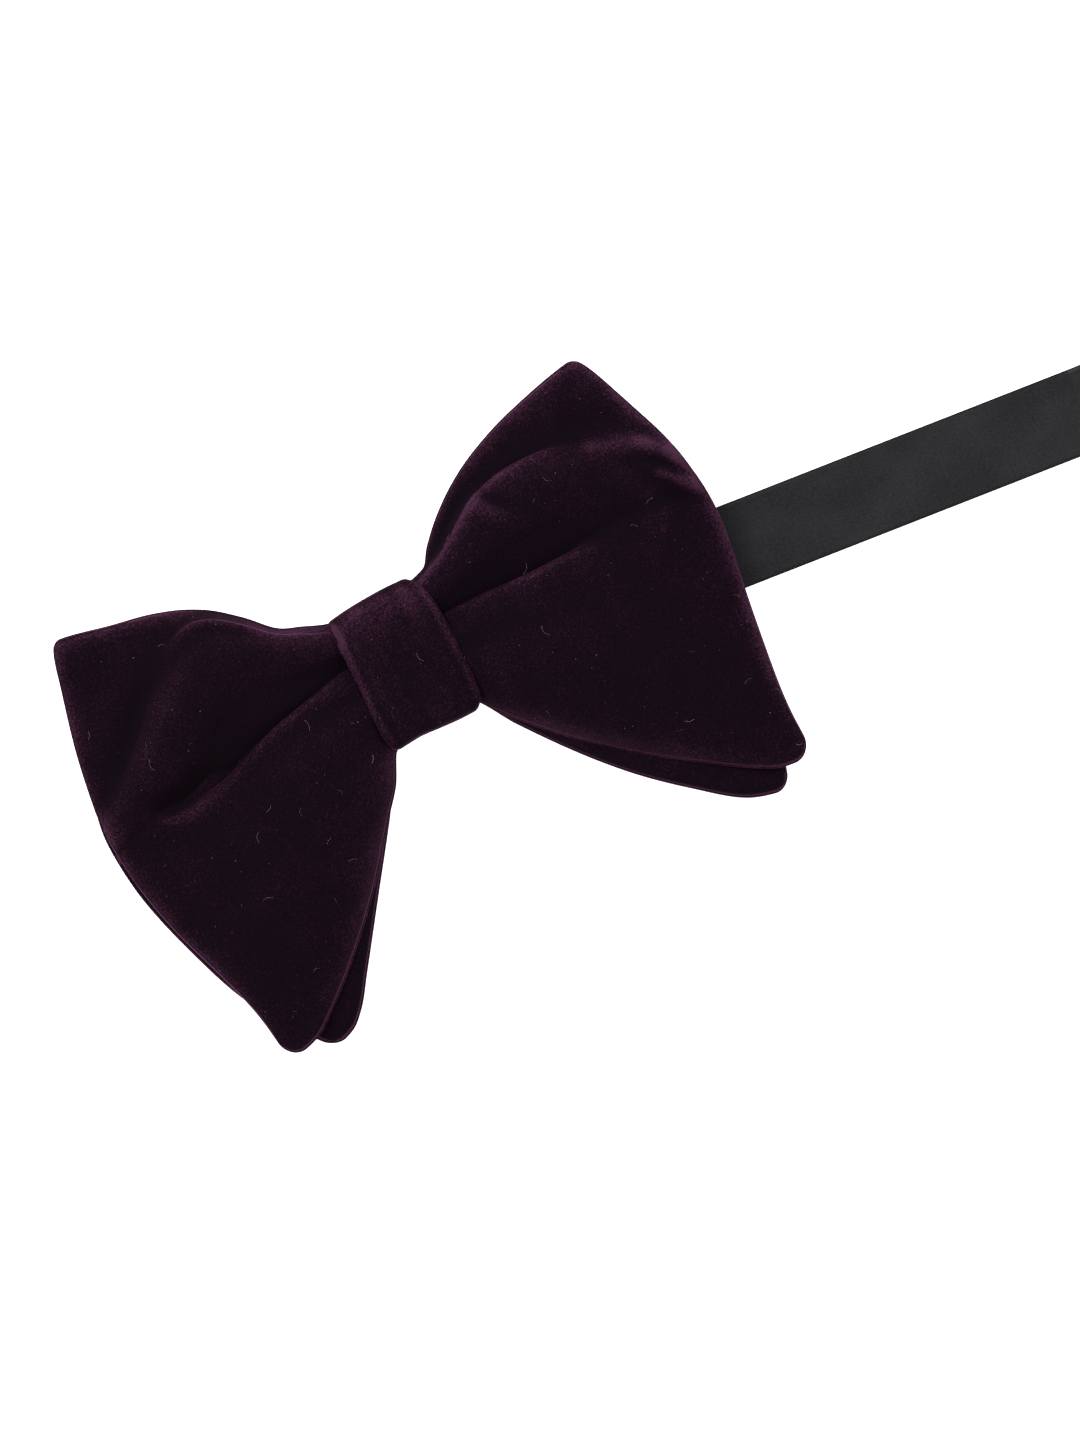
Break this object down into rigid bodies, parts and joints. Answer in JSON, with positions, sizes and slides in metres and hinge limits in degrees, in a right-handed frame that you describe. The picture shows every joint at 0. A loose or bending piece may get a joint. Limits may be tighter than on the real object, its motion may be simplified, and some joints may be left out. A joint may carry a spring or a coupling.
{
  "type": "bow tie",
  "caption": "Pre-tied butterfly bow tie in plum velvet, front and rear bow bound under a wrapped knot, on a flat black satin neck band with slider, hook and eye",
  "frame": {"origin": "on the resting surface, in the middle of the knot's flat back", "axes": "+X runs along the bow from its left wing to its right wing as a viewer sees its front, +Y from the bottom tips to the top corners, +Z out of the front of the knot"},
  "size_m": [0.3642, 0.1031, 0.0154],
  "materials": {
    "plum_velvet": "short dense pile, dark plum, bright only at grazing angles",
    "fleece": "soft non-woven interlining",
    "canvas": "woven stiffening canvas",
    "plum_thread": "matt sewing thread",
    "black_thread": "matt sewing thread",
    "black_satin": "smooth satin weave with a soft broad sheen",
    "band_interlining": "thin woven interlining",
    "dark_metal": "black-nickel plated stamping with fine brushing"
  },
  "bodies": {
    "bow": {"eye_bar_tack": "black_thread", "fixed_band_interlining": "band_interlining", "fixed_band_satin": "black_satin", "front_bow_back": "plum_velvet", "front_bow_face": "plum_velvet", "front_bow_interlining": "fleece", "knot_canvas": "canvas", "knot_closing_stitches": "plum_thread", "knot_wrap": "plum_velvet", "long_band_interlining": "band_interlining", "long_band_satin": "black_satin", "rear_bow_back": "plum_velvet", "rear_bow_face": "plum_velvet", "rear_bow_interlining": "fleece", "waist_binding_thread": "plum_thread"},
    "adjuster": {"adjuster": "dark_metal", "crossing_band_satin": "black_satin", "crossing_band_interlining": "band_interlining", "tail_end_satin": "black_satin", "tail_end_interlining": "band_interlining", "doubled_band_satin": "black_satin", "doubled_band_interlining": "band_interlining", "tail_band_satin": "black_satin", "tail_band_interlining": "band_interlining"},
    "band_end": {"hook_turn_satin": "black_satin", "hook_turn_interlining": "band_interlining"},
    "hook": {"hook": "dark_metal"},
    "eye": {"eye": "dark_metal"}
  },
  "joints": [
    {"name": "adjuster_slide", "type": "slide", "parent": "bow", "child": "adjuster", "axis": [0.9888, -0.1495, 0], "range_m": [0, 0.17], "deforming": ["long_band_satin", "long_band_interlining"]},
    {"name": "band_end_slide", "type": "slide", "parent": "adjuster", "child": "band_end", "axis": [0.9888, -0.1495, 0], "range_m": [-0.085, 0], "deforming": ["doubled_band_satin", "doubled_band_interlining", "tail_band_satin", "tail_band_interlining"]},
    {"name": "hook_hinge", "type": "hinge", "parent": "band_end", "child": "hook", "pos_m": [0.27784, -0.04412, 0.00131], "axis": [0.1495, 0.9888, 0], "range_deg": [-110, 100]},
    {"name": "eye_hinge", "type": "hinge", "parent": "bow", "child": "eye", "pos_m": [-0.05636, 0.00642, 0.00131], "axis": [0.1495, 0.9888, 0], "range_deg": [-100, 4]}
  ],
  "couplings": [
    {"joint": "band_end_slide", "follows": "adjuster_slide", "ratio": -0.5}
  ]
}
